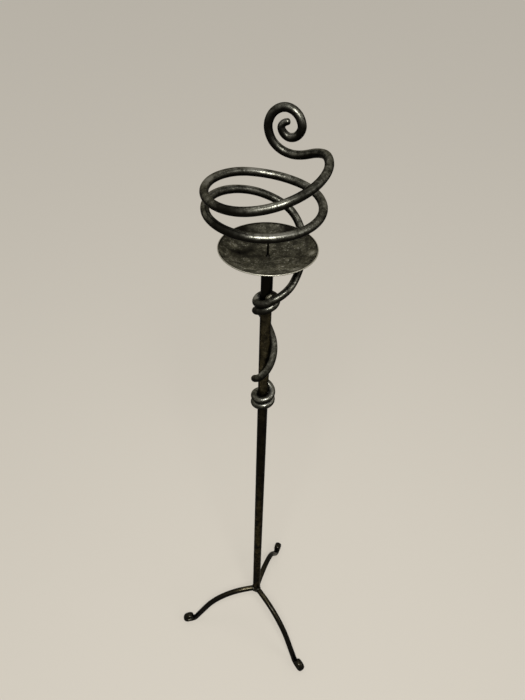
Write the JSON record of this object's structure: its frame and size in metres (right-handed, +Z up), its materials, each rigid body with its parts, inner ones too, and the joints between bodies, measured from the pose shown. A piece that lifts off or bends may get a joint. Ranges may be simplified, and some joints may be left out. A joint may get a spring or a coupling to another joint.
{
  "type": "torchere candle stand",
  "caption": "Tall iron candle stand: a round pole on three arched legs, a shallow pan with a pricket, and a bar that knots round the pole, coils round the candle and ends in a scroll.",
  "frame": {"origin": "on the floor at the middle of the footprint's box, between the three feet", "axes": "+Z up along the pole, +X to the right and +Y away from the camera as in the picture"},
  "size_m": [0.3537, 0.3865, 1.4534],
  "materials": {
    "hammered_iron": "hammered near-black iron, rubbed to dull pewter on its high places, satin lacquer",
    "pan_iron": "mottled dark pewter sheet, rubbed lighter in patches, bright worn lip, satin lacquer",
    "plain_steel": "blackened steel, satin"
  },
  "bodies": {
    "root": {"pole": "hammered_iron", "top_plug": "plain_steel", "bottom_plug": "hammered_iron", "rear_leg": "hammered_iron", "left_leg": "hammered_iron", "front_leg": "hammered_iron", "leg_welds": "hammered_iron", "coil_bar": "hammered_iron", "lower_tack_weld": "hammered_iron", "upper_tack_weld": "hammered_iron", "candle_pan": "pan_iron", "pan_weld": "hammered_iron", "pricket": "plain_steel"}
  },
  "joints": []
}
